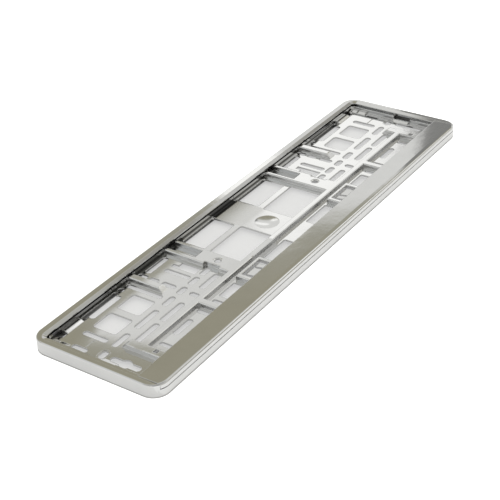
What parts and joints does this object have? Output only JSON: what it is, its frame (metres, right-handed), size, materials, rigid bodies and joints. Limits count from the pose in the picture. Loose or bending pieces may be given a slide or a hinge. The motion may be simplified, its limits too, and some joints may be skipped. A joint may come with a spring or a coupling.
{
  "type": "number plate holder",
  "caption": "Long chromed tray with a lipped rim, slotted floor and clip-in bottom strip, for holding a long number plate on a car.",
  "frame": {"origin": "middle of the back, on the plane that the outer wall stands on", "axes": "+X along the plate's length, +Y to the plate's top edge, +Z out of the face"},
  "size_m": [0.534, 0.1352, 0.0127],
  "materials": {
    "chrome_plating": "bright chrome plating on moulded plastic",
    "strip_plating": "bright chrome plating on moulded plastic"
  },
  "bodies": {
    "root": {"base_frame": "chrome_plating", "retaining_strip": "strip_plating"}
  },
  "joints": []
}
